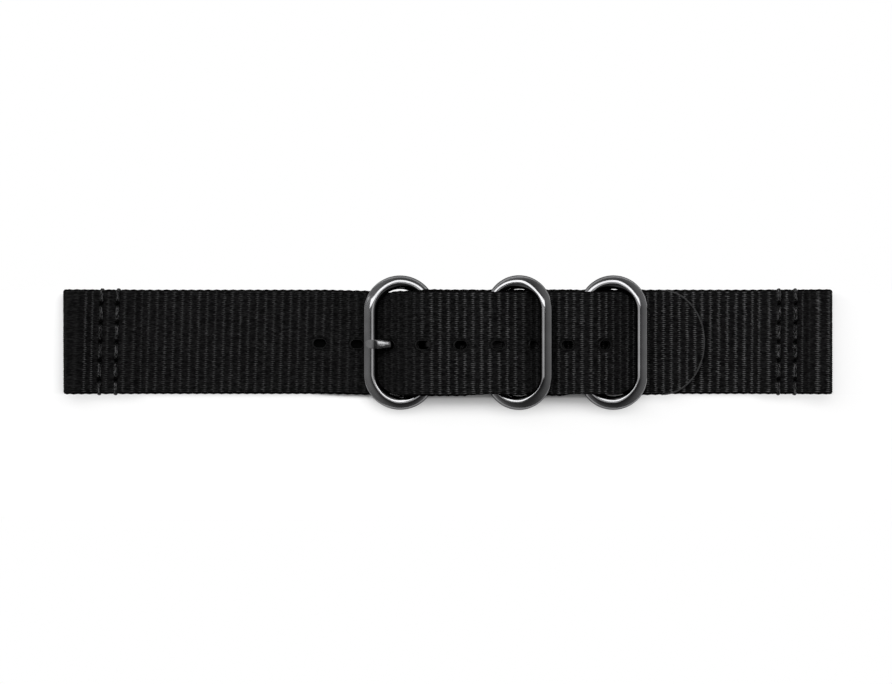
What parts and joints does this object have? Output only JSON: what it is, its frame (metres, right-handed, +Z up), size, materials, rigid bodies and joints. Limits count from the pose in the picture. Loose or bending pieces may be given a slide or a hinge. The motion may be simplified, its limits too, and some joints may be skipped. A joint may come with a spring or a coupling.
{
  "type": "watch strap",
  "caption": "Two-piece ribbed webbing watch strap, fastened and lying flat, with a ring buckle and tongue, ring keepers and stitched lug loops.",
  "frame": {"origin": "centre of the overall length and width, on the surface that the strap lies on", "axes": "+X along the strap from the long piece's lug loop to the short piece's lug loop, +Y across the width, +Z up from the surface to the outer side of the strap"},
  "size_m": [0.1462, 0.0254, 0.0073],
  "materials": {
    "webbing": "black ribbed nylon webbing, matt with a slight sheen on the ribs",
    "thread": "black bonded nylon sewing thread",
    "dark_steel": "dark grey coated steel, satin"
  },
  "bodies": {
    "straps": {"long_strap": "webbing", "short_strap": "webbing", "long_lug_needle_thread_1": "thread", "long_lug_bobbin_thread_1": "thread", "long_lug_needle_thread_2": "thread", "long_lug_bobbin_thread_2": "thread", "short_lug_needle_thread_1": "thread", "short_lug_bobbin_thread_1": "thread", "short_lug_needle_thread_2": "thread", "short_lug_bobbin_thread_2": "thread", "fold_needle_thread": "thread", "fold_bobbin_thread": "thread", "keeper_1_needle_thread": "thread", "keeper_1_bobbin_thread": "thread", "keeper_2_needle_thread_1": "thread", "keeper_2_bobbin_thread_1": "thread", "keeper_2_needle_thread_2": "thread", "keeper_2_bobbin_thread_2": "thread"},
    "buckle": {"buckle_ring": "dark_steel"},
    "tongue": {"buckle_tongue": "dark_steel"},
    "keeper_1": {"keeper_ring_1": "dark_steel"},
    "keeper_2": {"keeper_ring_2": "dark_steel"}
  },
  "joints": [
    {"name": "buckle_lift", "type": "hinge", "parent": "straps", "child": "buckle", "pos_m": [-0.00339, 0, 0.00265], "axis": [0, 1, 0], "range_deg": [0, 4]},
    {"name": "tongue_lift", "type": "hinge", "parent": "buckle", "child": "tongue", "pos_m": [-0.00339, 0, 0.00265], "axis": [0, 1, 0], "range_deg": [0, 4]},
    {"name": "keeper_1_swing", "type": "hinge", "parent": "straps", "child": "keeper_1", "pos_m": [0.00841, 0, 0.00265], "axis": [0, -1, 0], "range_deg": [0, 120]},
    {"name": "keeper_2_swing", "type": "hinge", "parent": "straps", "child": "keeper_2", "pos_m": [0.02611, 0, 0.00265], "axis": [0, -1, 0], "range_deg": [0, 120]}
  ]
}
